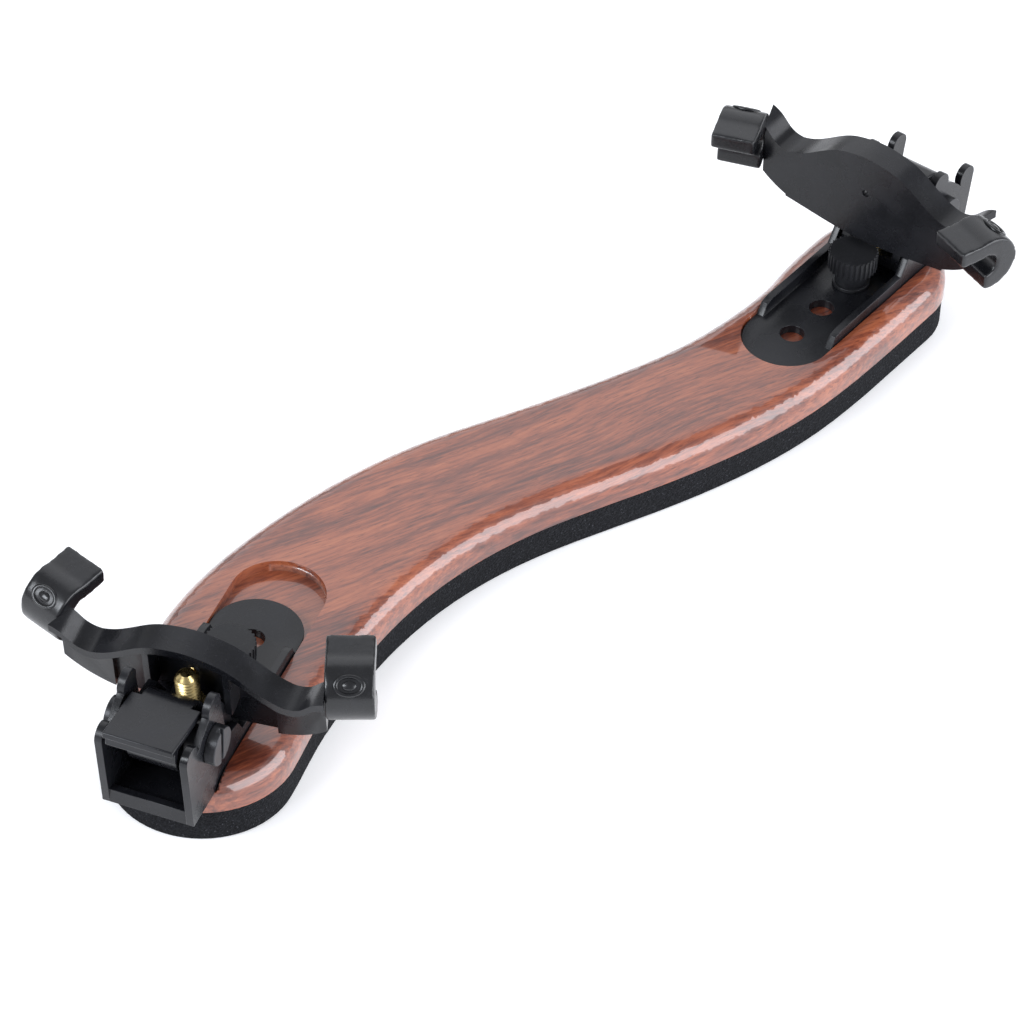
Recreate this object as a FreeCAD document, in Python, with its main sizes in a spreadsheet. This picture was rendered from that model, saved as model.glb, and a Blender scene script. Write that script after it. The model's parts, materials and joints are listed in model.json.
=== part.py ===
# Violin shoulder rest. Lengths are millimetres, angles are degrees.
# The bar lies along X on its foam pad, which rests on Z = 0. Each end carries the same bracket, built in
# the end's own frame: X outwards along the channel, Y across it, Z up from the top of the base plate.
import FreeCAD, Part
import math
import os
from FreeCAD import Placement, Rotation, Vector

doc = FreeCAD.newDocument("shoulder_rest")
sheet = doc.addObject("Spreadsheet::Sheet", "sizes")

SIZES = [
    # bar and pad
    ("plateSpan", 164.4, "between the round ends of the two base plates"),
    ("foamThick", 8.8, "foam pad"),
    ("woodThick", 8.4, "wood bar"),
    ("woodRound", 5.6, "rounding of the upper edge of the bar"),
    ("foamInset", 0.4, "foam set back from the edge of the wood"),
    ("channelDeep", 3.0, "channel in the wood for a base plate"),
    ("channelGap", 0.3, "between a base plate and its channel, each side"),
    ("wideYaw", 208.2, "direction of the channel at the wide end"),
    ("wideTipOut", 30.2, "centre of the wide end's round, outwards from the plate"),
    ("wideTipHalf", 21.9, "radius of the wide end's round"),
    ("wideShift", 12.6, "wide plate moved outwards by one hole"),
    ("narrowYaw", 12.1, "direction of the channel at the narrow end"),
    ("narrowTipOut", 38.6, "centre of the narrow end's round"),
    ("narrowTipHalf", 17.7, "radius of the narrow end's round"),
    # base plate
    ("plateThick", 2.3, "floor of the base plate"),
    ("plateHalf", 10.9, "half width of the base plate"),
    ("wallThick", 1.8, "side walls of the base plate"),
    ("boxFront", 59.7, "front of the box at the floor"),
    ("frontLean", 3.4, "how far the front leans out at the lever"),
    ("lowWall", 3.6, "height of the low part of the walls"),
    ("stepAt", 32.9, "where the walls step up"),
    ("stepHigh", 7.6, "height of the walls after the step"),
    ("sillHigh", 1.6, "sill at the front of the box"),
    ("holeFirst", 2.4, "first mounting hole"),
    ("holePitch", 12.6, "between mounting holes"),
    ("holeRadius", 3.0, "mounting hole"),
    # pivot pin and lock lever
    ("pinOut", 49.7, "pivot pin, outwards"),
    ("pinUp", 14.3, "pivot pin, above the plate"),
    ("pinRadius", 2.0, "pivot pin"),
    ("pinHead", 4.6, "radius of the slotted head"),
    ("pinHeadThick", 2.6, "thickness of the slotted head"),
    ("pinGap", 0.06, "running clearance on the pin"),
    ("barrelRadius", 8.0, "barrel of the lock lever"),
    ("barrelHalf", 6.0, "half width of the barrel"),
    ("flapHalf", 8.3, "half width of the flap"),
    ("flapLong", 15.6, "flap, outwards from the pin"),
    ("flapThick", 1.6, "flap"),
    ("lipDeep", 4.6, "turned-down front of the flap"),
    ("wideLever", -5.0, "lever angle at the wide end, closing outwards"),
    ("narrowLever", 70.0, "lever angle at the narrow end"),
    # leg block
    ("wideTilt", 9.5, "outward lean of the leg at the wide end"),
    ("narrowTilt", -2.1, "outward lean of the leg at the narrow end"),
    ("eyeRadius", 5.2, "eyes of the leg block round the pin"),
    ("eyeThick", 2.2, "thickness of an eye"),
    ("sideGap", 0.3, "side clearance between moving pieces"),
    ("screwIn", 12.1, "height screw, inwards from the pin"),
    ("footReach", 2.5, "foot beyond the height screw"),
    ("footLow", 11.6, "underside of the foot, below the pin"),
    ("footThick", 3.0, "foot under the height screw"),
    ("webIn", 10.4, "inner edge of the side arms, from the pin"),
    # height screw
    ("screwRadius", 2.8, "height screw"),
    ("screwTop", 5.3, "top of the height screw, above the pin"),
    ("journalRadius", 1.7, "journal through the foot"),
    ("clipRadius", 2.7, "retaining clip"),
    ("clipThick", 0.8, "retaining clip"),
    # fork
    ("forkIn", 18.8, "inner face of the fork plate, from the pin"),
    ("forkThick", 2.4, "fork plate"),
    ("forkTop", 11.4, "top of the arch, above the pin"),
    ("forkBottom", 14.3, "bottom of the plate, below the pin"),
    ("ribDeep", 4.6, "rib behind the arched edge"),
    ("ribThick", 2.2, "thickness of the rib"),
    ("shelfLow", 8.5, "underside of the nut shelf, below the pin"),
    ("shelfThick", 3.0, "nut shelf"),
    ("shelfHalf", 5.0, "half width of the nut shelf"),
    ("flangeLow", 6.0, "lower end of the guide flanges, below the pin"),
    ("flangeThick", 1.5, "guide flange"),
    ("nutRadius", 3.6, "brass nut in the shelf"),
    ("wideLift", 0.8, "height of the fork at the wide end"),
    ("narrowLift", 11.8, "height of the fork at the narrow end"),
    ("pinholeRadius", 1.0, "small hole in the fork plate"),
    # hooks and rubber boots
    ("hookSide", 34.6, "centre of a hook, across"),
    ("hookUp", 2.6, "centre of a hook, above the pin"),
    ("hookIn", 3.6, "centre of a hook, inwards from the fork plate"),
    ("hookTurn", 20.0, "how far a hook turns inwards"),
    ("bootOuter", 7.5, "outer radius of a boot"),
    ("bootWidth", 11.0, "width of a boot"),
    ("gripOut", 1.2, "centre of the grip, from the centre of the boot"),
    ("gripRadius", 3.0, "radius of the grip in a boot"),
    ("gripMouth", 5.4, "mouth of the grip"),
    ("noseLong", 8.8, "upper jaw of a boot, from the centre"),
    ("noseDrop", 0.5, "flat top of the upper jaw below the round"),
    ("chinLong", 1.4, "lower jaw of a boot, from the centre"),
    ("tongueThick", 3.0, "tongue of the fork inside a boot"),
    ("tongueHigh", 6.0, "tongue of the fork inside a boot"),
    ("tongueLong", 7.6, "tongue from the side face into a boot"),
    ("armDeep", 3.8, "arm of the fork where it meets a boot"),
    ("tongueGap", 0.05, "clearance of the tongue in its boot"),
    # thumbscrew
    ("knobRadius", 6.1, "knurled rim of the knob"),
    ("knobTop", 10.0, "top of the knob, above the plate"),
    ("rimHigh", 4.7, "height of the knurled rim"),
    ("collarRadius", 4.0, "collar under the rim"),
    ("knurls", 30, "flutes round the rim"),
    ("fluteRadius", 0.45, "flute"),
    ("studRadius", 2.5, "threaded stud of the thumbscrew"),
    ("studLong", 6.7, "stud below the plate's top"),
    ("studTip", 0.6, "plain tip of the stud"),
    ("washerRadius", 4.6, "captive washer under the knob"),
    ("washerThick", 0.9, "captive washer"),
    ("insertRadius", 3.9, "threaded insert in the wood"),
    ("insertLong", 4.2, "threaded insert in the wood"),
    ("pilotGap", 0.4, "pilot hole below the insert, beyond the stud"),
    ("pilotDeep", 0.6, "pilot hole below the insert"),
    ("threadGap", 0.08, "clearance in the threads"),
]
for row, (alias, value, note) in enumerate(SIZES, start=1):
    sheet.set("A%d" % row, note)
    sheet.set("B%d" % row, str(value))
    sheet.setAlias("B%d" % row, alias)
doc.recompute()


class Sizes:
    """Reads a driving dimension from the sheet."""

    def __getattr__(self, alias):
        return float(sheet.get(alias))


s = Sizes()
parts = {}


def bind(item, **expressions):
    """Bind properties to the sheet; a bare alias or a formula of aliases."""
    for prop, formula in expressions.items():
        words = formula.replace("(", " ( ").replace(")", " ) ").split()
        full = " ".join("sizes." + w if w in NAMES else w for w in words)
        item.setExpression(prop.replace("_", "."), full)
    return item


NAMES = {alias for alias, value, note in SIZES}


def box(name, length, width, height, x="0", y="0", z="0"):
    item = doc.addObject("Part::Box", name)
    return bind(item, Length=length, Width=width, Height=height,
                Placement_Base_x=x, Placement_Base_y=y, Placement_Base_z=z)


def cylinder(name, radius, height, x="0", y="0", z="0", turn=None):
    item = doc.addObject("Part::Cylinder", name)
    if turn is not None:
        item.Placement = Placement(Vector(), turn)
    return bind(item, Radius=radius, Height=height,
                Placement_Base_x=x, Placement_Base_y=y, Placement_Base_z=z)


ACROSS = Rotation(Vector(1, 0, 0), -90)      # turns a cylinder to run along +Y


def cut(name, base, *tools):
    for count, tool in enumerate(tools):
        item = doc.addObject("Part::Cut", name if count == len(tools) - 1 else "%s_cut%d" % (name, count))
        item.Base = base
        item.Tool = tool
        base = item
    return base


def fuse(name, *pieces):
    item = doc.addObject("Part::MultiFuse", name)
    item.Shapes = list(pieces)
    item.Refine = True
    return item


def common(name, *pieces):
    item = doc.addObject("Part::MultiCommon", name)
    item.Shapes = list(pieces)
    return item


def profile(name, edges):
    item = doc.addObject("Part::Feature", name)
    item.Shape = Part.Face(Part.Wire(Part.__sortEdges__(edges)))
    return item


def extrude(name, base, direction, length, both=False):
    item = doc.addObject("Part::Extrusion", name)
    item.Base = base
    item.DirMode = "Custom"
    item.Dir = direction
    item.Solid = True
    item.Symmetric = both
    return bind(item, LengthFwd=length)


def chain(points, closed=True):
    """Straight edges through the points."""
    pairs = list(zip(points, points[1:] + points[:1] if closed else points[1:]))
    return [Part.LineSegment(a, b).toShape() for a, b in pairs]


def spline(points, start=None, finish=None):
    curve = Part.BSplineCurve()
    if start is None:
        curve.interpolate(points)
    else:
        curve.interpolate(Points=points, InitialTangent=start, FinalTangent=finish)
    return curve.toShape()


def keep(item, label, place=None):
    """Make an object a sub-part of the shoulder rest."""
    item.Label = label
    if place is not None:
        item.Placement = place
    parts[label] = item
    return item


# ---- the two ends ------------------------------------------------------------------------------
def unit(angle):
    return Vector(math.cos(math.radians(angle)), math.sin(math.radians(angle)), 0)


plateTop = s.foamThick + s.woodThick - s.channelDeep + s.plateThick
ENDS = {
    "wide": dict(base=Vector(-s.plateSpan / 2, 0, plateTop), yaw=s.wideYaw, tilt=s.wideTilt, lift=s.wideLift,
                 lever=s.wideLever, hole=1, tip=(s.wideTipOut, s.wideTipHalf)),
    "narrow": dict(base=Vector(s.plateSpan / 2, 0, plateTop), yaw=s.narrowYaw, tilt=s.narrowTilt,
                   lift=s.narrowLift, lever=s.narrowLever, hole=2,
                   tip=(s.narrowTipOut, s.narrowTipHalf)),
}
for end in ENDS.values():
    end["place"] = Placement(end["base"], Rotation(Vector(0, 0, 1), end["yaw"]))
    end["pin"] = end["place"] * Placement(Vector(s.pinOut, 0, s.pinUp), Rotation())
    end["leg"] = end["pin"] * Placement(Vector(), Rotation(Vector(0, 1, 0), end["tilt"]))
    end["fork"] = end["leg"] * Placement(Vector(0, 0, end["lift"]), Rotation())
    end["open"] = end["pin"] * Placement(Vector(), Rotation(Vector(0, 1, 0), end["lever"]))


# ---- wood bar and foam pad ---------------------------------------------------------------------
# Points of the two long edges between the round ends, as shares of the plate span and distances across.
BACK = [(-0.541, 20.9), (-0.365, 28.2), (-0.207, 30.0), (-0.061, 28.3), (0.091, 23.1), (0.255, 18.1),
        (0.414, 15.9), (0.566, 19.0)]
FRONT = [(-0.511, -25.2), (-0.401, -17.2), (-0.302, -11.8), (-0.134, -7.8), (-0.024, -8.7), (0.074, -11.4),
         (0.182, -14.8), (0.280, -17.1), (0.389, -18.2), (0.487, -17.4), (0.608, -14.2)]


def outline(inset, height):
    """Edges of the bar's plan, set in from the wood's edge, at a height."""
    corner = {}
    edges = []
    for side, end in ENDS.items():
        out = unit(end["yaw"])
        left = Vector(-out.y, out.x, 0)
        tipOut, tipHalf = end["tip"]
        centre = Vector(end["base"].x, end["base"].y, height) + out * tipOut
        reach = tipHalf - inset
        corner[side] = (centre - left * reach, centre + left * reach, out)
        edges.append(Part.Arc(corner[side][0], centre + out * reach, corner[side][1]).toShape())
    wideRight, wideLeft, wideOut = corner["wide"]
    narrowRight, narrowLeft, narrowOut = corner["narrow"]
    # at the wide end "left" points to the front of the bar, because its channel runs the other way
    back = [Vector(x * s.plateSpan, y - inset, height) for x, y in BACK]
    front = [Vector(x * s.plateSpan, y + inset, height) for x, y in FRONT]
    edges.append(spline([wideRight] + back + [narrowLeft], wideOut * -1, narrowOut))
    edges.append(spline([wideLeft] + front + [narrowRight], wideOut * -1, narrowOut))
    return edges


woodPlan = profile("woodPlan", outline(0.0, s.foamThick))
woodBlank = extrude("woodBlank", woodPlan, Vector(0, 0, 1), "woodThick")
doc.recompute()
woodRounded = doc.addObject("Part::Fillet", "woodRounded")
woodRounded.Base = woodBlank
upper = s.foamThick + s.woodThick - 0.01
woodRounded.Edges = [(number, s.woodRound, s.woodRound)
                     for number, edge in enumerate(woodBlank.Shape.Edges, start=1)
                     if edge.BoundBox.ZMin > upper]
woodTools = []
for side, end in ENDS.items():
    # the channel runs from its round inner end out through the tip of the bar
    inner = cylinder(side + "ChannelRound", "plateHalf + channelGap", "channelDeep + 1")
    run = box(side + "ChannelRun", "wideTipOut + narrowTipOut + wideTipHalf", "2 * ( plateHalf + channelGap )",
              "channelDeep + 1", y="-1 * ( plateHalf + channelGap )")
    channel = fuse(side + "Channel", inner, run)
    shift = Vector(-s.wideShift if side == "wide" else 0, 0, -s.plateThick)
    channel.Placement = end["place"] * Placement(shift, Rotation())
    out = "holeFirst + %d * holePitch" % end["hole"]
    seat = cylinder(side + "InsertSeat", "insertRadius", "insertLong + 0.1", x=out,
                    z="-1 * plateThick - insertLong")
    pilot = cylinder(side + "PilotHole", "studRadius + pilotGap", "pilotDeep + 0.1", x=out,
                     z="-1 * plateThick - insertLong - pilotDeep")
    hole = fuse(side + "InsertHole", seat, pilot)
    hole.Placement = end["place"]
    woodTools += [channel, hole]
keep(cut("woodBar", woodRounded, *woodTools), "wood_bar")

foamPlan = profile("foamPlan", outline(s.foamInset, 0.0))
keep(extrude("foamPad", foamPlan, Vector(0, 0, 1), "foamThick"), "foam_pad")


# ---- base plate --------------------------------------------------------------------------------
def wallEdges():
    """Side view of a wall: low inner part, a step, an ear over the pin and a lobe at the front."""
    earOut, earUp, earRadius = s.pinOut - 1.8, s.pinUp + 9.0, 3.2
    lobeOut, lobeUp, lobeRadius = s.pinOut + 10.4, s.pinUp + 4.4, 2.8

    def at(x, z):
        return Vector(x, 0, z)

    rise = at(earOut - earRadius, earUp - 1.0)
    dip = at(earOut + 3.1, earUp - 0.8)
    lobeIn = at(lobeOut - lobeRadius, lobeUp - 1.2)
    frontTop = at(s.boxFront + s.frontLean, lobeUp)
    edges = chain([at(s.boxFront, -s.plateThick), at(3, -s.plateThick), at(3, 0), at(4.6, s.lowWall - 0.6),
                   at(7, s.lowWall), at(s.stepAt, s.lowWall), at(s.stepAt + 2.6, s.stepHigh),
                   at(s.stepAt + 8.6, s.stepHigh + 1.0), rise], closed=False)
    edges.append(Part.Arc(rise, at(earOut, earUp + earRadius), dip).toShape())
    edges.append(Part.Arc(dip, at((dip.x + lobeIn.x) / 2, dip.z - 2.2), lobeIn).toShape())
    edges.append(Part.Arc(lobeIn, at(lobeOut + 0.3, lobeUp + lobeRadius), frontTop).toShape())
    edges.append(Part.LineSegment(frontTop, at(s.boxFront, -s.plateThick)).toShape())
    return edges


def basePlate(side, end):
    floor = box(side + "Floor", "boxFront", "2 * plateHalf", "plateThick", y="-1 * plateHalf", z="-1 * plateThick")
    nose = cylinder(side + "Nose", "plateHalf", "plateThick", z="-1 * plateThick")
    sill = box(side + "Sill", "wallThick", "2 * plateHalf", "sillHigh + 0.2", x="boxFront - wallThick",
               y="-1 * plateHalf", z="-0.2")
    wallSide = profile(side + "WallSide", wallEdges())
    right = extrude(side + "WallRight", wallSide, Vector(0, 1, 0), "wallThick")
    left = extrude(side + "WallLeft", wallSide, Vector(0, 1, 0), "wallThick")
    bind(right, Placement_Base_y="plateHalf - wallThick")
    bind(left, Placement_Base_y="-1 * plateHalf")
    body = fuse(side + "PlateBody", floor, nose, sill, right, left)
    tools = [cylinder("%sHole%d" % (side, count), "holeRadius", "plateThick + 1",
                      x="holeFirst + %d * holePitch" % count, z="-1 * plateThick - 0.5") for count in range(3)]
    tools.append(cylinder(side + "PinHole", "pinRadius + pinGap", "2 * plateHalf + 2", x="pinOut",
                          y="-1 * plateHalf - 1", z="pinUp", turn=ACROSS))
    keep(cut(side + "BasePlate", body, *tools), side + "_end_base_plate", end["place"])


def pivotPin(side, end):
    """Pin from wall to wall: a slotted head on one side and a cap on the other."""
    shank = cylinder(side + "Shank", "pinRadius", "2 * plateHalf + sideGap", y="-1 * plateHalf - sideGap",
                     turn=ACROSS)
    head = cylinder(side + "Head", "pinHead", "pinHeadThick", y="plateHalf", turn=ACROSS)
    slot = box(side + "HeadSlot", "1.2", "pinHeadThick", "2 * pinHead + 2", x="-0.6",
               y="plateHalf + pinHeadThick - 1", z="-1 * pinHead - 1")
    slotted = cut(side + "SlottedHead", head, slot)
    keep(fuse(side + "Pin", shank, slotted), side + "_end_pivot_pin", end["pin"])
    cap = cylinder(side + "CapBlank", "pinHead - 0.4", "pinHeadThick - 0.4", y="-1 * plateHalf - pinHeadThick + 0.4",
                   turn=ACROSS)
    seat = cylinder(side + "CapSeat", "pinRadius", "sideGap", y="-1 * plateHalf - sideGap", turn=ACROSS)
    keep(cut(side + "Cap", cap, seat), side + "_end_pin_cap", end["pin"])


def lockLever(side, end):
    """Barrel on the pin, with a flat flap that swings down into the front of the box."""
    barrel = cylinder(side + "Barrel", "barrelRadius", "2 * barrelHalf", y="-1 * barrelHalf", turn=ACROSS)
    flap = box(side + "Flap", "flapLong", "2 * flapHalf", "flapThick", y="-1 * flapHalf",
               z="barrelRadius - flapThick")
    lip = box(side + "Lip", "flapThick", "2 * flapHalf", "lipDeep", x="flapLong - flapThick - 1.6",
              y="-1 * flapHalf", z="barrelRadius - lipDeep")
    body = fuse(side + "LeverBody", barrel, flap, lip)
    bore = cylinder(side + "LeverBore", "pinRadius + pinGap", "2 * flapHalf + 2", y="-1 * flapHalf - 1", turn=ACROSS)
    keep(cut(side + "Lever", body, bore), side + "_end_lock_lever", end["open"])


def legBlock(side, end):
    """Two eyes on the pin, two arms that pass the barrel, and the foot that carries the height screw."""
    armIn = s.screwIn + s.footReach

    def at(x, z):
        return Vector(x, 0, z)

    slope = math.radians(50)
    upper = at(-s.eyeRadius * math.sin(slope), s.eyeRadius * math.cos(slope))
    lower = at(-s.eyeRadius * math.sin(slope), -s.eyeRadius * math.cos(slope))
    arm = chain([upper, at(-s.webIn, 1.5), at(-armIn, -s.footLow + s.footThick + 1.0), at(-armIn, -s.footLow),
                 at(-s.webIn + 1.5, -s.footLow), lower], closed=False)
    arm.append(Part.Arc(lower, at(s.eyeRadius, 0), upper).toShape())
    armSide = profile(side + "ArmSide", arm)
    eyeOut = "barrelHalf + sideGap + eyeThick"
    right = extrude(side + "ArmRight", armSide, Vector(0, 1, 0), "eyeThick")
    left = extrude(side + "ArmLeft", armSide, Vector(0, 1, 0), "eyeThick")
    bind(right, Placement_Base_y="barrelHalf + sideGap")
    bind(left, Placement_Base_y="-1 * ( %s )" % eyeOut)
    foot = box(side + "Foot", "footReach + screwIn - barrelRadius - 0.4", "2 * ( %s )" % eyeOut, "footThick",
               x="-1 * ( screwIn + footReach )", y="-1 * ( %s )" % eyeOut, z="-1 * footLow")
    body = fuse(side + "LegBody", right, left, foot)
    journal = cylinder(side + "JournalBore", "journalRadius + pinGap", "footThick + 2", x="-1 * screwIn",
                       z="-1 * footLow - 1")
    pocket = cylinder(side + "ClipPocket", "clipRadius + 0.3", "clipThick + 0.6", x="-1 * screwIn",
                      z="-1 * footLow - 0.2")
    bore = cylinder(side + "EyeBore", "pinRadius + pinGap", "2 * plateHalf", y="-1 * plateHalf", turn=ACROSS)
    keep(cut(side + "LegBlock", body, journal, pocket, bore), side + "_end_leg_block", end["leg"])


def heightScrew(side, end):
    """Screw with a domed tip, standing on the foot; the clip under the foot holds its journal."""
    rodLow = "footThick - footLow"
    rod = cylinder(side + "Rod", "screwRadius", "screwTop - screwRadius / 2 - footThick + footLow - pinGap",
                   x="-1 * screwIn", z=rodLow + " + pinGap")
    dome = doc.addObject("Part::Sphere", side + "Dome")
    bind(dome, Radius="screwRadius * 1.25", Placement_Base_x="-1 * screwIn",
         Placement_Base_z="screwTop - screwRadius * 1.25")
    sleeve = cylinder(side + "DomeSleeve", "screwRadius", "screwRadius", x="-1 * screwIn",
                      z="screwTop - screwRadius")
    tip = common(side + "Tip", dome, sleeve)
    journal = cylinder(side + "Journal", "journalRadius", "footThick + 0.4", x="-1 * screwIn", z="-1 * footLow")
    keep(fuse(side + "Screw", rod, tip, journal), side + "_end_height_screw", end["leg"])
    ring = cylinder(side + "Ring", "clipRadius", "clipThick", x="-1 * screwIn", z="-1 * footLow + 0.2")
    ringBore = cylinder(side + "RingBore", "journalRadius", "clipThick + 1", x="-1 * screwIn", z="-1 * footLow - 0.3")
    keep(cut(side + "Clip", ring, ringBore), side + "_end_screw_clip", end["leg"])


# Height of the fork's edges above or below the pin at distances across, one half.
TOP_EDGE = [(4.5, -0.5), (9.0, -1.7), (12.5, -3.6), (16.0, -6.0), (19.5, -8.1), (23.0, -9.3)]
BOTTOM_EDGE = [(9.0, 0.5), (16.0, 1.4), (23.0, 2.4)]


# An arm of the fork, from the plate to the boot, as heights above the pin.
ARM_TOP = [(19.5, 3.3), (23.0, 2.1), (26.5, 3.0), (29.5, 5.9), (32.5, 7.6), (35.2, 7.9)]
ARM_BOTTOM = [(19.5, -12.4), (24.0, -11.0), (29.0, -8.2), (32.5, -5.2), (35.2, -2.0)]


def forkEdges():
    """Upper and lower outline of the fork plate, from one side to the other."""
    top = [(y * sign, s.forkTop + dz) for sign in (-1, 1) for y, dz in TOP_EDGE]
    bottom = [(y * sign, dz - s.forkBottom) for sign in (-1, 1) for y, dz in BOTTOM_EDGE]
    return sorted(top + [(0, s.forkTop)]), sorted(bottom + [(0, -s.forkBottom)])


def hookPlace(sign):
    """Frame of a hook: X the way its grip opens, Y along the violin's edge, Z up."""
    centre = Vector(-s.forkIn - s.hookIn, sign * s.hookSide, s.hookUp)
    return Placement(centre, Rotation(Vector(0, 0, 1), 180 + sign * s.hookTurn))


def tongueFrom():
    """Outer face of a tongue, midway between the back of the boot and its grip."""
    back, grip = -s.bootOuter, s.gripOut - s.gripRadius
    return (back + grip - s.tongueThick) / 2


def fork(side, end):
    plane = -s.forkIn
    top, bottom = forkEdges()

    def at(y, z):
        return Vector(plane, y, z)

    def band(name, upper, under, depth):
        """Solid between two smooth edges of the fork, from its inner face outwards."""
        sides = [Part.LineSegment(upper[0], under[0]).toShape(), Part.LineSegment(upper[-1], under[-1]).toShape()]
        return extrude(name, profile(name + "Side", [spline(upper), spline(under)] + sides), Vector(1, 0, 0), depth)

    upper = [at(y, z) for y, z in top]
    under = [at(y, z) for y, z in bottom]
    plate = band(side + "ForkPlate", upper, under, "forkThick")
    rib = band(side + "Rib", upper, [v - Vector(0, 0, s.ribThick) for v in upper], "forkThick + ribDeep")
    shelf = box(side + "Shelf", "forkIn - barrelRadius - sideGap", "2 * shelfHalf", "shelfThick",
                x="-1 * forkIn", y="-1 * shelfHalf", z="-1 * shelfLow")
    pieces = [plate, rib, shelf]
    rooms = []
    tongues = []
    for sign, word in ((1, "Right"), (-1, "Left")):
        flangeIn = "barrelHalf + 2 * sideGap + eyeThick"
        flange = box("%sFlange%s" % (side, word), "forkThick + ribDeep", "flangeThick",
                     "flangeLow + forkTop - ribThick - 1", x="-1 * forkIn",
                     y=flangeIn if sign > 0 else "-1 * ( %s + flangeThick )" % flangeIn, z="-1 * flangeLow")
        armTop = [at(sign * y, z) for y, z in ARM_TOP]
        arm = band("%sArm%s" % (side, word), armTop, [at(sign * y, z) for y, z in ARM_BOTTOM], "armDeep")
        armRib = band("%sArmRib%s" % (side, word), armTop, [v - Vector(0, 0, s.ribThick) for v in armTop],
                      "forkThick + ribDeep")
        pieces += [flange, arm, armRib]
        hook = hookPlace(sign)
        # the arm ends at the side face of the boot, and a tongue goes on into it
        room = doc.addObject("Part::Box", "%sRoom%s" % (side, word))
        bind(room, Length="6 * bootOuter", Width="6 * bootWidth", Height="6 * bootOuter")
        near = sign * s.bootWidth / 2
        room.Placement = hook * Placement(
            Vector(-3 * s.bootOuter, near - (6 * s.bootWidth if sign > 0 else 0), -3 * s.bootOuter), Rotation())
        rooms.append(room)
        tongue = doc.addObject("Part::Box", "%sTongue%s" % (side, word))
        bind(tongue, Length="tongueThick", Width="tongueLong + 1", Height="tongueHigh")
        tongue.Placement = hook * Placement(
            Vector(tongueFrom(), near - s.tongueLong if sign > 0 else near - 1, -s.tongueHigh / 2), Rotation())
        tongues.append(tongue)
    trimmed = cut(side + "ForkTrimmed", fuse(side + "ForkPieces", *pieces), *rooms)
    body = fuse(side + "ForkBody", trimmed, *tongues)
    seat = cylinder(side + "NutSeat", "nutRadius", "shelfThick + 2", x="-1 * screwIn", z="-1 * shelfLow - 1")
    small = cylinder(side + "SmallHole", "pinholeRadius", "forkThick + 2", x="-1 * forkIn - 1", z="0.6",
                     turn=Rotation(Vector(0, 1, 0), 90))
    keep(cut(side + "Fork", body, seat, small), side + "_end_fork", end["fork"])
    nut = cylinder(side + "NutBlank", "nutRadius", "shelfThick", x="-1 * screwIn", z="-1 * shelfLow")
    thread = cylinder(side + "NutThread", "screwRadius + threadGap", "shelfThick + 2", x="-1 * screwIn",
                      z="-1 * shelfLow - 1")
    keep(cut(side + "Nut", nut, thread), side + "_end_fork_nut", end["fork"])


def boots(side, end):
    """A rubber boot on each hook: a round back, a long upper jaw, and a grip that opens for the violin's edge."""
    for sign, word in ((1, "right"), (-1, "left")):
        name = side + word.capitalize()
        back = cylinder(name + "BootBack", "bootOuter", "bootWidth", y="-1 * bootWidth / 2", turn=ACROSS)
        nose = box(name + "Nose", "noseLong", "bootWidth", "bootOuter - noseDrop", y="-1 * bootWidth / 2")
        blank = fuse(name + "BootBlank", back, nose)
        chin = box(name + "Chin", "bootOuter", "bootWidth + 2", "bootOuter + 1", x="chinLong",
                   y="-1 * bootWidth / 2 - 1", z="-1 * bootOuter - 1")
        grip = cylinder(name + "Grip", "gripRadius", "bootWidth + 2", x="gripOut", y="-1 * bootWidth / 2 - 1",
                        turn=ACROSS)
        mouth = box(name + "Mouth", "bootOuter + 1", "bootWidth + 2", "gripMouth", x="gripOut",
                    y="-1 * bootWidth / 2 - 1", z="-1 * gripMouth / 2")
        socket = doc.addObject("Part::Box", name + "Socket")
        bind(socket, Length="tongueThick + 2 * tongueGap", Width="tongueLong + tongueGap + 1",
             Height="tongueHigh + 2 * tongueGap")
        near = sign * s.bootWidth / 2
        start = near - s.tongueLong - s.tongueGap if sign > 0 else near - 1
        socket.Placement = Placement(
            Vector(tongueFrom() - s.tongueGap, start, -s.tongueHigh / 2 - s.tongueGap), Rotation())
        keep(cut(name + "Boot", blank, grip, mouth, chin, socket), "%s_end_%s_boot" % (side, word),
             end["fork"] * hookPlace(sign))


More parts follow.
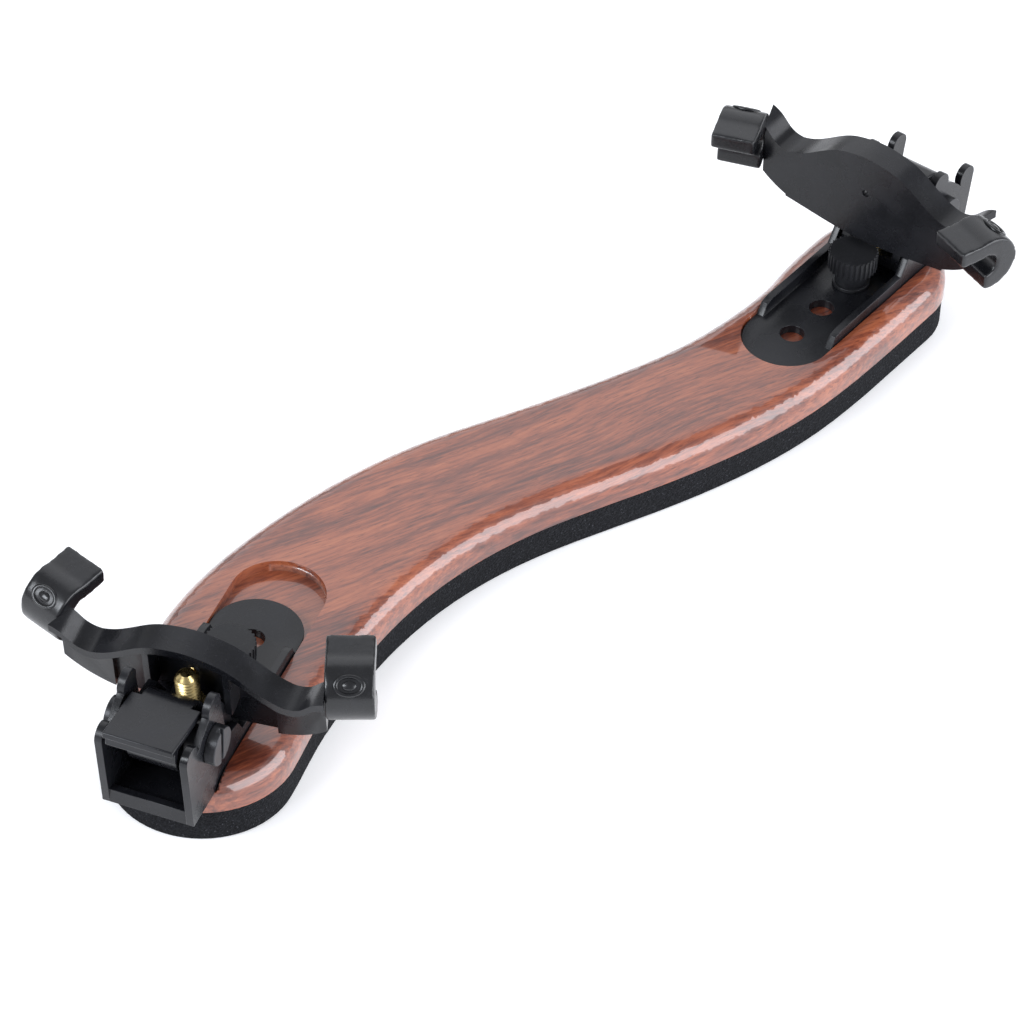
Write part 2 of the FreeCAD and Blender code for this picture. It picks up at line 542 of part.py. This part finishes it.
def thumbscrew(side, end):
    """Knurled knob with its stud and washer, through a hole of the base plate into the insert in the wood."""
    out = "holeFirst + %d * holePitch" % end["hole"]
    collarLow = "2 * threadGap + washerThick"
    rim = cylinder(side + "Rim", "knobRadius", "rimHigh", x=out, z="knobTop - rimHigh")
    collar = cylinder(side + "Collar", "collarRadius", "knobTop - rimHigh - %s + 0.1" % collarLow.replace("+", "-"),
                      x=out, z=collarLow)
    flutes = []
    for count in range(int(s.knurls)):
        angle = math.radians(360.0 * count / s.knurls)
        flute = cylinder("%sFlute%d" % (side, count), "fluteRadius", "rimHigh + 2",
                         x="%s + knobRadius * %.5f" % (out, math.cos(angle)), y="knobRadius * %.5f" % math.sin(angle),
                         z="knobTop - rimHigh - 1")
        flutes.append(flute)
    solid = fuse(side + "KnobBlank", rim, collar)
    socket = cylinder(side + "StudSocket", "studRadius", "collarRadius + 1", x=out, z="threadGap - 1")
    keep(cut(side + "Knob", solid, fuse(side + "Flutes", *flutes), socket), side + "_end_thumbscrew_knob",
         end["place"])
    rod = cylinder(side + "StudRod", "studRadius", "studLong - studTip + threadGap + collarRadius", x=out,
                   z="studTip - studLong")
    tip = cylinder(side + "StudTip", "studRadius - 0.4", "studTip + 0.1", x=out, z="-1 * studLong")
    keep(fuse(side + "Stud", rod, tip), side + "_end_thumbscrew_stud", end["place"])
    washer = cylinder(side + "WasherBlank", "washerRadius", "washerThick", x=out, z="threadGap")
    washerBore = cylinder(side + "WasherBore", "studRadius + pinGap", "washerThick + 1", x=out, z="threadGap - 0.5")
    keep(cut(side + "Washer", washer, washerBore), side + "_end_clamp_washer", end["place"])
    blank = cylinder(side + "InsertBlank", "insertRadius", "insertLong", x=out, z="-1 * plateThick - insertLong")
    thread = cylinder(side + "InsertThread", "studRadius + threadGap", "insertLong + 2", x=out,
                      z="-1 * plateThick - insertLong - 1")
    keep(cut(side + "Insert", blank, thread), side + "_end_threaded_insert", end["place"])


for side, end in ENDS.items():
    basePlate(side, end)
    boots(side, end)
    thumbscrew(side, end)
    pivotPin(side, end)
    lockLever(side, end)
    legBlock(side, end)
    heightScrew(side, end)
    fork(side, end)
doc.recompute()

failed = [item.Name for item in doc.Objects if {"Invalid", "Error"} & set(item.State)]
if failed:
    raise SystemExit("failed objects: " + ", ".join(failed))
for label, item in parts.items():
    if item.Shape.isNull() or not item.Shape.isValid():
        raise SystemExit("bad shape: " + label)
os.makedirs("parts", exist_ok=True)
for label, item in parts.items():
    item.Shape.exportStep(os.path.join("parts", label + ".step"))
    print("%-28s %9.1f mm3  %d solid" % (label, item.Shape.Volume, len(item.Shape.Solids)))
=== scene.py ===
# Violin shoulder rest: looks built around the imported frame. Metres, in the frame's own axes.
import bpy
import bmesh
import json
import math
from mathutils import Matrix, Vector


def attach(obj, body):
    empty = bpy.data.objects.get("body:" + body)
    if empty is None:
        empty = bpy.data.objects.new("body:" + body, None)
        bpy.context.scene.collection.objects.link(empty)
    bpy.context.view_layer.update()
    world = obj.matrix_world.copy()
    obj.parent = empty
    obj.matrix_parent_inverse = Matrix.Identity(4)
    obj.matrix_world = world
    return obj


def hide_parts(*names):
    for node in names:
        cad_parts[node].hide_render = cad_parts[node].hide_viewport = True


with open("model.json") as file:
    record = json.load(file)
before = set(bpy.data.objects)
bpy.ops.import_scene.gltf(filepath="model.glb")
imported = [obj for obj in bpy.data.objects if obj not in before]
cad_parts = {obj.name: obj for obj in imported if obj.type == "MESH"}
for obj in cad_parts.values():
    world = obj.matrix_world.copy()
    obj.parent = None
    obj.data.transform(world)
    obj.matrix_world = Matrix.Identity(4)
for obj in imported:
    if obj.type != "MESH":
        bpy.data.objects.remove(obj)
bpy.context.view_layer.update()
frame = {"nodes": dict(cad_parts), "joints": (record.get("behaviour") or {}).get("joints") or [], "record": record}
nodes = frame["nodes"]
slotOf = {entry["node"]: entry["material_slot"] for entry in frame["record"]["subparts"]}
bodyOf = {node: body for body, members in frame["record"]["behaviour"]["bodies"].items() for node in members}
jointOf = {joint["name"]: joint for joint in frame["joints"]}
endNames = ("wide_end", "narrow_end")
print("frame loaded:", len(nodes), "nodes")


# small helpers for node trees
def addNode(tree, kind, values=None, **settings):
    node = tree.nodes.new(kind)
    for key, value in settings.items():
        setattr(node, key, value)
    for key, value in (values or {}).items():
        node.inputs[key].default_value = value
    return node


def addRamp(tree, source, stops):
    ramp = tree.nodes.new("ShaderNodeValToRGB")
    elements = ramp.color_ramp.elements
    while len(elements) < len(stops):
        elements.new(0.5)
    for element, (place, colour) in zip(elements, stops):
        element.position = place
        element.color = (*colour, 1.0)
    tree.links.new(source, ramp.inputs["Fac"])
    return ramp.outputs["Color"]


def addMix(tree, blend, factor, first, second):
    mix = addNode(tree, "ShaderNodeMix", data_type="RGBA", blend_type=blend)
    for socket, value in ((mix.inputs["Factor"], factor), (mix.inputs["A"], first), (mix.inputs["B"], second)):
        if isinstance(value, bpy.types.NodeSocket):
            tree.links.new(value, socket)
        else:
            socket.default_value = value
    return mix.outputs["Result"]


def addRange(tree, source, low, high, start=0.0, end=1.0):
    spread = addNode(tree, "ShaderNodeMapRange",
                     {"From Min": start, "From Max": end, "To Min": low, "To Max": high})
    tree.links.new(source, spread.inputs["Value"])
    return spread.outputs["Result"]


def startGroup(name, inputs, outputs):
    group = bpy.data.node_groups.new(name, "ShaderNodeTree")
    for label, value in inputs.items():
        socket = group.interface.new_socket(name=label, in_out="INPUT", socket_type="NodeSocketFloat")
        socket.default_value = value
    for label, kind in outputs.items():
        group.interface.new_socket(name=label, in_out="OUTPUT", socket_type=kind)
    return group, group.nodes.new("NodeGroupInput"), group.nodes.new("NodeGroupOutput")


def useGroup(tree, group, **values):
    node = tree.nodes.new("ShaderNodeGroup")
    node.node_tree = group
    for key, value in values.items():
        node.inputs[key].default_value = value
    return node


def startMaterial(name, **shaderValues):
    material = bpy.data.materials.new(name)
    material.use_nodes = True
    tree = material.node_tree
    shader = tree.nodes["Principled BSDF"]
    for key, value in shaderValues.items():
        shader.inputs[key.replace("_", " ")].default_value = value
    return material, tree, shader


# moulded grain: fine dimples, slow waviness and a little handling dust, shared by plastic, rubber and metal
mouldLook = dict(fine=dict(Detail=4.0, Roughness=0.6), slow=dict(Detail=2.0, Roughness=0.5),
                 fineShare=0.3, wearRange=(0.3, 0.7), dustRange=(0.55, 0.8))
mouldGroup, mouldIn, mouldOut = startGroup(
    "mouldedSurface", {"Grain Size": 900.0, "Wave Size": 90.0, "Dust": 0.3},
    {"Height": "NodeSocketFloat", "Wear": "NodeSocketFloat", "Dust": "NodeSocketFloat"})
where = addNode(mouldGroup, "ShaderNodeTexCoord")
fine = addNode(mouldGroup, "ShaderNodeTexNoise", mouldLook["fine"])
slow = addNode(mouldGroup, "ShaderNodeTexNoise", mouldLook["slow"])
for texture, size in ((fine, "Grain Size"), (slow, "Wave Size")):
    mouldGroup.links.new(where.outputs["Object"], texture.inputs["Vector"])
    mouldGroup.links.new(mouldIn.outputs[size], texture.inputs["Scale"])
heights = addNode(mouldGroup, "ShaderNodeMath", {1: mouldLook["fineShare"]}, operation="MULTIPLY_ADD")
mouldGroup.links.new(fine.outputs["Fac"], heights.inputs[0])
mouldGroup.links.new(slow.outputs["Fac"], heights.inputs[2])
mouldGroup.links.new(heights.outputs["Value"], mouldOut.inputs["Height"])
wearAmount = addRange(mouldGroup, slow.outputs["Fac"], 0.0, 1.0, *mouldLook["wearRange"])
mouldGroup.links.new(wearAmount, mouldOut.inputs["Wear"])
dustAmount = addNode(mouldGroup, "ShaderNodeMath", operation="MULTIPLY")
dustSpots = addRange(mouldGroup, fine.outputs["Fac"], 0.0, 1.0, *mouldLook["dustRange"])
mouldGroup.links.new(dustSpots, dustAmount.inputs[0])
mouldGroup.links.new(mouldIn.outputs["Dust"], dustAmount.inputs[1])
mouldGroup.links.new(dustAmount.outputs["Value"], mouldOut.inputs["Dust"])


# look holds three colours, roughness low and high, grain and wave sizes, dust, bump height, specular and metal
def makeMoulded(name, look):
    material, tree, shader = startMaterial(name, Metallic=look["metal"], Specular_IOR_Level=look["specular"])
    surface = useGroup(tree, mouldGroup, **{"Grain Size": look["grain"], "Wave Size": look["wave"],
                                            "Dust": look["dust"]})
    tint = addMix(tree, "MIX", surface.outputs["Wear"], (*look["dark"], 1), (*look["pale"], 1))
    dusty = addMix(tree, "MIX", surface.outputs["Dust"], tint, (*look["dusty"], 1))
    tree.links.new(dusty, shader.inputs["Base Color"])
    low, high = look["rough"]
    tree.links.new(addRange(tree, surface.outputs["Wear"], low, high), shader.inputs["Roughness"])
    bump = addNode(tree, "ShaderNodeBump", {"Strength": look["bump"], "Distance": look["depth"]})
    tree.links.new(surface.outputs["Height"], bump.inputs["Height"])
    tree.links.new(bump.outputs["Normal"], shader.inputs["Normal"])
    return material


blackPlastic = dict(dark=(0.0045, 0.0048, 0.0062), pale=(0.0095, 0.0100, 0.0125), dusty=(0.034, 0.035, 0.041),
                    rough=(0.20, 0.34), grain=1400.0, wave=110.0, dust=0.30, bump=0.30, depth=0.0002,
                    specular=0.34, metal=0.0)
knobPlastic = dict(dark=(0.007, 0.0075, 0.009), pale=(0.013, 0.0135, 0.016), dusty=(0.040, 0.041, 0.046),
                   rough=(0.40, 0.52), grain=1800.0, wave=160.0, dust=0.45, bump=0.35, depth=0.0002,
                   specular=0.35, metal=0.0)
bootRubber = dict(dark=(0.0035, 0.0038, 0.0048), pale=(0.0080, 0.0085, 0.0105), dusty=(0.030, 0.031, 0.036),
                  rough=(0.20, 0.34), grain=1100.0, wave=140.0, dust=0.3, bump=0.35, depth=0.0002,
                  specular=0.52, metal=0.0)
darkSteel = dict(dark=(0.018, 0.0185, 0.021), pale=(0.040, 0.041, 0.046), dusty=(0.08, 0.08, 0.085),
                 rough=(0.30, 0.44), grain=2200.0, wave=240.0, dust=0.3, bump=0.2, depth=0.0002,
                 specular=0.5, metal=0.45)
brassTurned = dict(dark=(0.42, 0.31, 0.12), pale=(0.66, 0.52, 0.25), dusty=(0.34, 0.25, 0.11),
                   rough=(0.20, 0.36), grain=1500.0, wave=420.0, dust=0.35, bump=0.15, depth=0.0002,
                   specular=0.5, metal=1.0)
print("moulded materials ready")


# lacquered wood: long grain streaks, broad bands and short pores under a clear coat
woodLook = dict(streak=(110.0, 1300.0, 1000.0), band=(8.0, 120.0, 90.0), pore=(260.0, 2600.0, 2000.0),
                tones=((0.10, (0.070, 0.0150, 0.0085)), (0.38, (0.155, 0.0355, 0.0165)),
                       (0.62, (0.255, 0.064, 0.0265)), (0.90, (0.335, 0.096, 0.0390))),
                turn=(0.06, 0.03, 0.16), wander=9.0, wanderReach=0.010,
                details=dict(streak=5.0, band=3.0, pore=2.0), noiseRoughness=0.62,
                bandShare=0.48, toneRange=(0.33, 0.67), poreRange=(0.58, 0.70), poreDepth=0.85,
                poreTint=(0.42, 0.34, 0.33), roughness=(0.28, 0.46), bump=0.12, depth=0.0002,
                specular=0.45, coatRoughness=0.035, coatIndex=1.55)


def makeLacquer(name, look):
    material, tree, shader = startMaterial(name, Coat_Weight=1.0, Coat_Roughness=look["coatRoughness"],
                                           Coat_IOR=look["coatIndex"], Specular_IOR_Level=look["specular"])
    where = addNode(tree, "ShaderNodeTexCoord")
    turned = addNode(tree, "ShaderNodeMapping")
    turned.inputs["Rotation"].default_value = look["turn"]
    tree.links.new(where.outputs["Object"], turned.inputs["Vector"])
    # a slow sideways wander keeps the streaks from being ruler straight
    wander = addNode(tree, "ShaderNodeTexNoise", {"Scale": look["wander"], "Detail": 2.0})
    tree.links.new(turned.outputs["Vector"], wander.inputs["Vector"])
    shift = addNode(tree, "ShaderNodeVectorMath", operation="SCALE")
    shift.inputs["Scale"].default_value = look["wanderReach"]
    tree.links.new(wander.outputs["Color"], shift.inputs[0])
    bent = addNode(tree, "ShaderNodeVectorMath", operation="ADD")
    tree.links.new(turned.outputs["Vector"], bent.inputs[0])
    tree.links.new(shift.outputs["Vector"], bent.inputs[1])
    patterns = {}
    for label, detail in look["details"].items():
        stretch = addNode(tree, "ShaderNodeMapping")
        stretch.inputs["Scale"].default_value = look[label]
        tree.links.new(bent.outputs["Vector"], stretch.inputs["Vector"])
        noise = addNode(tree, "ShaderNodeTexNoise",
                        {"Scale": 1.0, "Detail": detail, "Roughness": look["noiseRoughness"]})
        tree.links.new(stretch.outputs["Vector"], noise.inputs["Vector"])
        patterns[label] = noise.outputs["Fac"]
    blended = addNode(tree, "ShaderNodeMix", {"Factor": look["bandShare"]}, data_type="FLOAT")
    tree.links.new(patterns["streak"], blended.inputs["A"])
    tree.links.new(patterns["band"], blended.inputs["B"])
    spread = addRange(tree, blended.outputs["Result"], 0.0, 1.0, *look["toneRange"])
    tone = addRamp(tree, spread, look["tones"])
    pores = addRange(tree, patterns["pore"], 0.0, look["poreDepth"], *look["poreRange"])
    darkened = addMix(tree, "MULTIPLY", pores, tone, (*look["poreTint"], 1))
    tree.links.new(darkened, shader.inputs["Base Color"])
    tree.links.new(addRange(tree, patterns["streak"], *look["roughness"]), shader.inputs["Roughness"])
    bump = addNode(tree, "ShaderNodeBump", {"Strength": look["bump"], "Distance": look["depth"]})
    tree.links.new(patterns["streak"], bump.inputs["Height"])
    tree.links.new(bump.outputs["Normal"], shader.inputs["Normal"])
    return material


# closed-cell foam: matte black with open pores and pale specks
foamLook = dict(dark=(0.0035, 0.0037, 0.0045), grey=(0.011, 0.0115, 0.0135), speck=(0.075, 0.078, 0.088),
                cell=1700.0, speckSize=2400.0, cellRange=(0.05, 0.75), speckRange=(0.60, 0.74),
                roughness=(0.82, 0.98), bump=0.7, depth=0.0004, specular=0.12)


def makeFoam(name, look):
    material, tree, shader = startMaterial(name, Specular_IOR_Level=look["specular"])
    where = addNode(tree, "ShaderNodeTexCoord")
    cells = addNode(tree, "ShaderNodeTexVoronoi", {"Scale": look["cell"]})
    specks = addNode(tree, "ShaderNodeTexNoise", {"Scale": look["speckSize"], "Detail": 3.0, "Roughness": 0.7})
    for texture in (cells, specks):
        tree.links.new(where.outputs["Object"], texture.inputs["Vector"])
    tone = addRamp(tree, cells.outputs["Distance"], tuple(zip(look["cellRange"], (look["dark"], look["grey"]))))
    speck = addRange(tree, specks.outputs["Fac"], 0.0, 1.0, *look["speckRange"])
    tree.links.new(addMix(tree, "MIX", speck, tone, (*look["speck"], 1)), shader.inputs["Base Color"])
    tree.links.new(addRange(tree, specks.outputs["Fac"], *look["roughness"]), shader.inputs["Roughness"])
    bump = addNode(tree, "ShaderNodeBump", {"Strength": look["bump"], "Distance": look["depth"]})
    tree.links.new(cells.outputs["Distance"], bump.inputs["Height"])
    tree.links.new(bump.outputs["Normal"], shader.inputs["Normal"])
    return material


finishes = {
    "lacquered_wood": makeLacquer("lacqueredWood", woodLook),
    "foam": makeFoam("blackFoam", foamLook),
    "black_plastic": makeMoulded("blackPlastic", blackPlastic),
    "knob_plastic": makeMoulded("knobPlastic", knobPlastic),
    "black_rubber": makeMoulded("bootRubber", bootRubber),
    "dark_steel": makeMoulded("darkSteel", darkSteel),
    "brass": makeMoulded("turnedBrass", brassTurned),
}
print("finishes ready:", len(finishes))


# an object made of the bmesh, standing for a CAD node and riding with its body
def addPiece(name, bm, node, smoothAngle=40.0):
    mesh = bpy.data.meshes.new(name)
    bm.to_mesh(mesh)
    bm.free()
    mesh.shade_smooth()
    mesh.set_sharp_from_angle(angle=math.radians(smoothAngle))
    piece = bpy.data.objects.new(name, mesh)
    bpy.context.scene.collection.objects.link(piece)
    mesh.materials.append(finishes[slotOf[node]])
    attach(piece, bodyOf[node])
    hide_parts(node)
    return piece


# a copy of a CAD node's mesh, with its loose triangles joined and its flat faces made whole
mergeLook = dict(join=2e-6, collapse=1e-6)


def mergedNode(node, flat=1.0):
    bm = bmesh.new()
    bm.from_mesh(nodes[node].data)
    bmesh.ops.remove_doubles(bm, verts=bm.verts, dist=mergeLook["join"])
    bmesh.ops.dissolve_degenerate(bm, dist=mergeLook["collapse"], edges=bm.edges)
    bmesh.ops.dissolve_limit(bm, angle_limit=math.radians(flat), verts=bm.verts, edges=bm.edges)
    return bm


# rounded edges, as a mould or a tumbler leaves them
roundingLook = dict(segments=3, angle=34.0)


def soften(piece, width):
    bevel = piece.modifiers.new("roundedEdges", "BEVEL")
    bevel.width = width
    bevel.segments = roundingLook["segments"]
    bevel.limit_method = "ANGLE"
    bevel.angle_limit = math.radians(roundingLook["angle"])
    return piece


def camelName(node):
    head, *rest = node.split("_")
    return head + "".join(word.capitalize() for word in rest)


# an even, finely divided skin with relaxed edges, so gloss runs smoothly round the piece
def evenSkin(piece, voxel, passes):
    remesh = piece.modifiers.new("evenSkin", "REMESH")
    remesh.mode = "VOXEL"
    remesh.voxel_size = voxel
    remesh.use_smooth_shade = True
    relax = piece.modifiers.new("relaxed", "CORRECTIVE_SMOOTH")
    relax.factor = 0.5
    relax.iterations = passes
    relax.smooth_type = "LENGTH_WEIGHTED"
    relax.use_only_smooth = True


# edge rounding of each moulded or turned piece, in metres
edgeRounding = {"base_plate": 0.00030, "lock_lever": 0.00035, "leg_block": 0.00025, "fork": 0.00060,
                "thumbscrew_knob": 0.00012, "pivot_pin": 0.00025, "pin_cap": 0.0005, "screw_clip": 0.0001,
                "clamp_washer": 0.00012}
bootLook = dict(voxel=0.00035, passes=16)

for end in endNames:
    for kind, width in edgeRounding.items():
        node = "%s_%s" % (end, kind)
        soften(addPiece(camelName(node), mergedNode(node), node), width)
    for kind in ("right_boot", "left_boot"):
        node = "%s_%s" % (end, kind)
        evenSkin(addPiece(camelName(node), mergedNode(node), node, smoothAngle=180.0), **bootLook)
    for kind in ("fork_nut", "thumbscrew_stud", "threaded_insert"):
        plain = nodes["%s_%s" % (end, kind)]
        plain.data.materials.clear()
        plain.data.materials.append(finishes[slotOf[plain.name]])
print("bracket pieces ready")


# a moulded oval eyelet on the round back of each boot
# ring, wire and stretch shape it; radius, angle and gripOut place it on the boot, in metres and degrees
eyeletLook = dict(ring=0.0021, wire=0.00042, wireSides=12, ringSteps=40, stretch=1.45, sink=0.3,
                  pip=0.55, pipFlat=0.45, radius=0.0075, angle=128.0, gripOut=0.0012)


def makeEyelet(mount, fork):
    side, hand, _ = mount["name"].split("_")
    opens = Vector(mount["axis"]).normalized()
    rises = Vector(fork["axis"]).normalized()
    along = rises.cross(opens)
    bm = bmesh.new()
    wire = bmesh.ops.create_circle(bm, segments=eyeletLook["wireSides"], radius=eyeletLook["wire"])
    bmesh.ops.rotate(bm, verts=wire["verts"], cent=(0, 0, 0), matrix=Matrix.Rotation(math.pi / 2, 3, "X"))
    bmesh.ops.translate(bm, verts=wire["verts"], vec=(eyeletLook["ring"], 0, 0))
    bmesh.ops.spin(bm, geom=bm.verts[:] + bm.edges[:], cent=(0, 0, 0), axis=(0, 0, 1), angle=math.tau,
                   steps=eyeletLook["ringSteps"], use_merge=True)
    bmesh.ops.remove_doubles(bm, verts=bm.verts, dist=1e-6)
    pip = bmesh.ops.create_icosphere(bm, subdivisions=3, radius=eyeletLook["ring"] * eyeletLook["pip"])
    bmesh.ops.scale(bm, verts=pip["verts"], vec=(1.0, 1.0, eyeletLook["pipFlat"]))
    bmesh.ops.scale(bm, verts=bm.verts, vec=(1.0, eyeletLook["stretch"], 1.0))
    bmesh.ops.recalc_face_normals(bm, faces=bm.faces)
    angle = math.radians(eyeletLook["angle"])
    outward = opens * math.cos(angle) + rises * math.sin(angle)
    centre = Vector(mount["pos_m"]) - opens * eyeletLook["gripOut"]
    turn = Matrix((along.cross(outward), along, outward)).transposed().to_4x4()
    reach = eyeletLook["radius"] - eyeletLook["wire"] * eyeletLook["sink"]
    place = Matrix.Translation(centre + outward * reach) @ turn
    bmesh.ops.transform(bm, matrix=place, verts=bm.verts)
    name = "%sEnd%sEyelet" % (side, hand.capitalize())
    mesh = bpy.data.meshes.new(name)
    bm.to_mesh(mesh)
    bm.free()
    mesh.shade_smooth()
    eyelet = bpy.data.objects.new(name, mesh)
    bpy.context.scene.collection.objects.link(eyelet)
    mesh.materials.append(finishes["black_rubber"])
    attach(eyelet, fork["child"])


for mount in frame["record"]["mounts"]:
    if mount["name"].endswith("_grip"):
        makeEyelet(mount, jointOf[mount["name"].split("_")[0] + "_end_fork_lift"])
print("boot eyelets ready")


# wood bar and foam pad
barLook = dict(flat=0.08, smoothAngle=32.0, weight=100)
padLook = dict(edge=0.0005, fill=0.9)

woodBar = addPiece("woodBar", mergedNode("wood_bar", barLook["flat"]), "wood_bar", barLook["smoothAngle"])
evenGloss = woodBar.modifiers.new("evenGloss", "WEIGHTED_NORMAL")
evenGloss.weight = barLook["weight"]
evenGloss.keep_sharp = True
foamPad = soften(addPiece("foamPad", mergedNode("foam_pad"), "foam_pad"), padLook["edge"])
print("bar and pad ready")


# height screws with a cut thread, a plain journal below it and a chamfered tip above it
screwLook = dict(outer=0.0028, core=0.00235, pitch=0.0010, steps=20, sides=40, journal=0.0017, overlap=0.0002,
                 seat=0.0031, clear=0.0016, tip=0.0012, tipShare=0.55, smoothAngle=35.0,
                 thread=((0.0, "core"), (0.2, "core"), (0.5, "outer"), (0.6, "outer"), (0.9, "core"),
                         (1.0, "core")))


def makeHeightScrew(end):
    node = end + "_height_screw"
    joint = jointOf[end + "_screw_turn"]
    axis = Vector(joint["axis"]).normalized()
    foot = Vector(joint["pos_m"])
    heights = [(vertex.co - foot).dot(axis) for vertex in nodes[node].data.vertices]
    low, high = min(heights), max(heights)
    seat = low + screwLook["seat"]
    # the profile of one turn is swept up the axis, all in the screw's own frame
    bm = bmesh.new()
    pitch, core, journal, tipHigh = (screwLook[key] for key in ("pitch", "core", "journal", "tip"))
    turns = int((high - screwLook["clear"] - seat) / pitch)
    points = [bm.verts.new((screwLook[radius], 0.0, seat + pitch * share))
              for share, radius in screwLook["thread"]]
    ridge = [bm.edges.new(pair) for pair in zip(points, points[1:])]
    bmesh.ops.spin(bm, geom=points + ridge, cent=(0, 0, 0), axis=(0, 0, 1),
                   dvec=(0, 0, pitch / screwLook["steps"]), angle=math.tau * turns,
                   steps=screwLook["steps"] * turns)
    bmesh.ops.remove_doubles(bm, verts=bm.verts, dist=1e-6)
    bmesh.ops.recalc_face_normals(bm, faces=bm.faces)
    # core, journal and tip: lower and upper radius, lower and upper end
    for under, over, lower, upper in ((core, core, seat, high - tipHigh),
                                      (journal, journal, low, seat + screwLook["overlap"]),
                                      (core, core * screwLook["tipShare"], high - tipHigh, high)):
        made = bmesh.ops.create_cone(bm, cap_ends=True, segments=screwLook["sides"], radius1=under, radius2=over,
                                     depth=upper - lower)
        bmesh.ops.translate(bm, verts=made["verts"], vec=(0, 0, (upper + lower) / 2))
    turn = axis.to_track_quat("Z", "X").to_matrix().to_4x4()
    bmesh.ops.transform(bm, matrix=Matrix.Translation(foot) @ turn, verts=bm.verts)
    addPiece(camelName(node), bm, node, screwLook["smoothAngle"])


for end in endNames:
    makeHeightScrew(end)
print("height screws ready")


# stage, light and camera
stageLook = dict(floor=(0.93, 0.93, 0.935), lift=0.22, size=6.0, drop=0.0002, roughness=0.9, specular=0.1,
                 world=(0.96, 0.97, 1.0), worldStrength=0.50)
floorMesh = bmesh.new()
bmesh.ops.create_grid(floorMesh, x_segments=1, y_segments=1, size=stageLook["size"])
bmesh.ops.translate(floorMesh, verts=floorMesh.verts, vec=(0, 0, -stageLook["drop"]))
floorData = bpy.data.meshes.new("floor")
floorMesh.to_mesh(floorData)
floorMesh.free()
floor = bpy.data.objects.new("floor", floorData)
bpy.context.scene.collection.objects.link(floor)
floorMaterial, floorTree, floorShader = startMaterial("paleFloor", Roughness=stageLook["roughness"],
                                                      Specular_IOR_Level=stageLook["specular"])
floorShader.inputs["Base Color"].default_value = (*stageLook["floor"], 1)
floorShader.inputs["Emission Color"].default_value = (1, 1, 1, 1)
floorShader.inputs["Emission Strength"].default_value = stageLook["lift"]
# seen from below the floor is clear, so the underside of the pad shows
facing = addNode(floorTree, "ShaderNodeNewGeometry")
clear = addNode(floorTree, "ShaderNodeBsdfTransparent")
oneSided = addNode(floorTree, "ShaderNodeMixShader")
floorTree.links.new(facing.outputs["Backfacing"], oneSided.inputs["Fac"])
floorTree.links.new(floorShader.outputs["BSDF"], oneSided.inputs[1])
floorTree.links.new(clear.outputs["BSDF"], oneSided.inputs[2])
floorTree.links.new(oneSided.outputs["Shader"], floorTree.nodes["Material Output"].inputs["Surface"])
floorData.materials.append(floorMaterial)

world = bpy.data.worlds.new("studio")
world.use_nodes = True
background = world.node_tree.nodes["Background"]
background.inputs["Color"].default_value = (*stageLook["world"], 1)
background.inputs["Strength"].default_value = stageLook["worldStrength"]
bpy.context.scene.world = world

lightLook = {
    # name: place, aim, size, watts, colour
    "frontBox": ((0.45, -1.02, 0.40), (0.0, 0.0, 0.02), (1.7, 0.80), 22.0, (0.93, 0.95, 1.0)),
    "backBox": ((0.78, 0.85, 1.05), (0.0, 0.0, 0.0), (1.7, 1.5), 8.0, (0.93, 0.95, 1.0)),
    "leftBox": ((-1.20, 0.15, 0.80), (0.0, 0.0, 0.0), (0.8, 0.6), 17.0, (0.90, 0.94, 1.0)),
}
for name, (place, aim, size, watts, colour) in lightLook.items():
    light = bpy.data.lights.new(name, "AREA")
    light.shape = "RECTANGLE"
    light.size, light.size_y = size
    light.energy = watts
    light.color = colour
    lamp = bpy.data.objects.new(name, light)
    lamp.location = place
    lamp.rotation_euler = (Vector(aim) - Vector(place)).to_track_quat("-Z", "Y").to_euler()
    bpy.context.scene.collection.objects.link(lamp)

# view from the wide end's front corner, looking down at about 42 degrees
viewLook = dict(azimuth=-42.506, height=42.142, roll=2.534, distance=1.1797, lens=177.17,
                aim=(0.0, 0.0, 0.0165), right=-0.004333, up=-0.007523)


def makeCamera(look):
    azimuth, height, roll = (math.radians(look[key]) for key in ("azimuth", "height", "roll"))
    back = Vector((math.sin(azimuth) * math.cos(height), -math.cos(azimuth) * math.cos(height), math.sin(height)))
    right = Vector((math.cos(azimuth), math.sin(azimuth), 0.0))
    up = back.cross(right)
    sideways = right * math.cos(roll) + up * math.sin(roll)
    upwards = up * math.cos(roll) - right * math.sin(roll)
    target = Vector(look["aim"]) + sideways * look["right"] + upwards * look["up"]
    lens = bpy.data.cameras.new("studioCamera")
    lens.lens = look["lens"]
    lens.sensor_width = 36.0
    lens.clip_start = 0.05
    camera = bpy.data.objects.new("studioCamera", lens)
    turn = Matrix((sideways, upwards, back)).transposed().to_4x4()
    camera.matrix_world = Matrix.Translation(target + back * look["distance"]) @ turn
    bpy.context.scene.collection.objects.link(camera)
    bpy.context.scene.camera = camera


makeCamera(viewLook)
bpy.context.scene.view_settings.view_transform = "Standard"
print("stage and camera ready")
